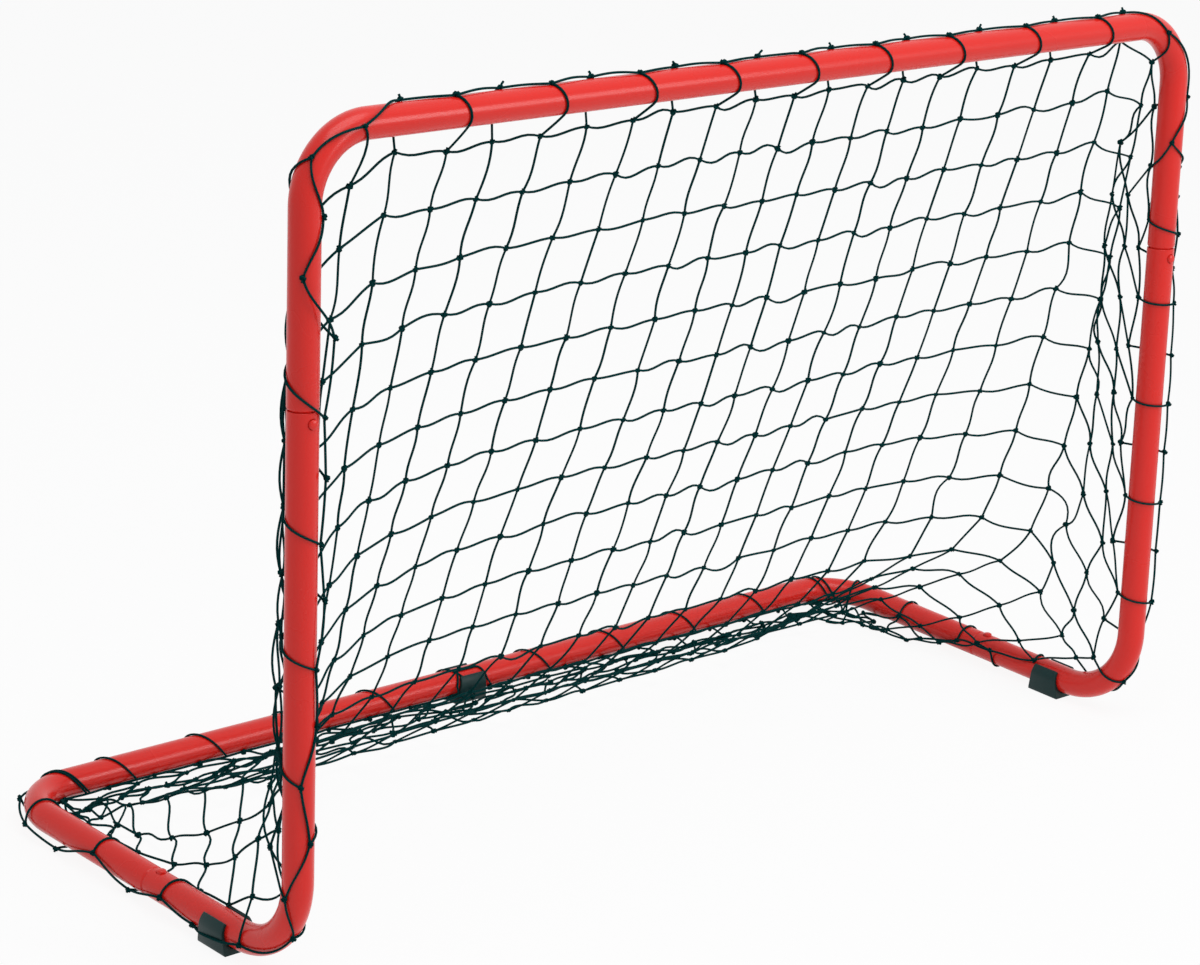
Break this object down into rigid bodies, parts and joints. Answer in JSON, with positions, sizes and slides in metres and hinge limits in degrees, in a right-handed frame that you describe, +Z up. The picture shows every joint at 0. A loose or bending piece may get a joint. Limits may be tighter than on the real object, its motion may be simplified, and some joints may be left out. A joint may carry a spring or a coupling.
{
  "type": "floorball goal",
  "caption": "Small knock-down goal: bent tube frame joined by snap buttons, clip feet, and a knotted net laced to the tubes that hangs back to a rear bar.",
  "frame": {"origin": "on the floor, at the centre of the frame's footprint", "axes": "+X to the goal's right as seen from the pitch, +Y from the mouth to the rear bar, +Z up"},
  "size_m": [0.906, 0.3642, 0.603],
  "materials": {
    "top_frame_tube": "gloss powder coat",
    "left_side_tube": "gloss powder coat",
    "right_side_tube": "gloss powder coat",
    "rear_frame_tube": "gloss powder coat",
    "left_post_button": "gloss powder coat",
    "left_post_spring": "plain",
    "right_post_button": "gloss powder coat",
    "right_post_spring": "plain",
    "left_floor_button": "gloss powder coat",
    "left_floor_spring": "plain",
    "right_floor_button": "gloss powder coat",
    "right_floor_spring": "plain",
    "left_foot": "matt",
    "right_foot": "matt",
    "rear_foot": "matt",
    "top_lacing": "twisted cord",
    "left_side_lacing": "twisted cord",
    "right_side_lacing": "twisted cord",
    "rear_lacing": "twisted cord",
    "net_back": "twisted cord",
    "net_left_side": "twisted cord",
    "net_right_side": "twisted cord"
  },
  "bodies": {
    "side_frames": {"left_side_tube": "left_side_tube", "right_side_tube": "right_side_tube", "left_foot": "left_foot", "right_foot": "right_foot", "left_side_lacing": "left_side_lacing", "right_side_lacing": "right_side_lacing", "net_back": "net_back", "net_left_side": "net_left_side", "net_right_side": "net_right_side"},
    "top_frame": {"top_frame_tube": "top_frame_tube", "top_lacing": "top_lacing", "left_post_spring": "left_post_spring", "right_post_spring": "right_post_spring"},
    "rear_frame": {"rear_frame_tube": "rear_frame_tube", "rear_foot": "rear_foot", "rear_lacing": "rear_lacing", "left_floor_spring": "left_floor_spring", "right_floor_spring": "right_floor_spring"},
    "left_post_button": {"left_post_button": "left_post_button"},
    "right_post_button": {"right_post_button": "right_post_button"},
    "left_floor_button": {"left_floor_button": "left_floor_button"},
    "right_floor_button": {"right_floor_button": "right_floor_button"}
  },
  "joints": [
    {"name": "top_frame_slide", "type": "slide", "parent": "side_frames", "child": "top_frame", "axis": [0, 0.0591, 0.9983], "range_m": [0, 0.08]},
    {"name": "rear_frame_slide", "type": "slide", "parent": "side_frames", "child": "rear_frame", "axis": [0, 1, 0], "range_m": [0, 0.08]},
    {"name": "left_post_button_press", "type": "slide", "parent": "top_frame", "child": "left_post_button", "axis": [0, 0.9983, -0.0591], "range_m": [0, 0.0035], "stiffness_N_per_m": 400, "springref_m": -0.004, "deforming": ["left_post_spring"]},
    {"name": "right_post_button_press", "type": "slide", "parent": "top_frame", "child": "right_post_button", "axis": [0, 0.9983, -0.0591], "range_m": [0, 0.0035], "stiffness_N_per_m": 400, "springref_m": -0.004, "deforming": ["right_post_spring"]},
    {"name": "left_floor_button_press", "type": "slide", "parent": "rear_frame", "child": "left_floor_button", "axis": [0, 0, -1], "range_m": [0, 0.0035], "stiffness_N_per_m": 400, "springref_m": -0.004, "deforming": ["left_floor_spring"]},
    {"name": "right_floor_button_press", "type": "slide", "parent": "rear_frame", "child": "right_floor_button", "axis": [0, 0, -1], "range_m": [0, 0.0035], "stiffness_N_per_m": 400, "springref_m": -0.004, "deforming": ["right_floor_spring"]}
  ]
}
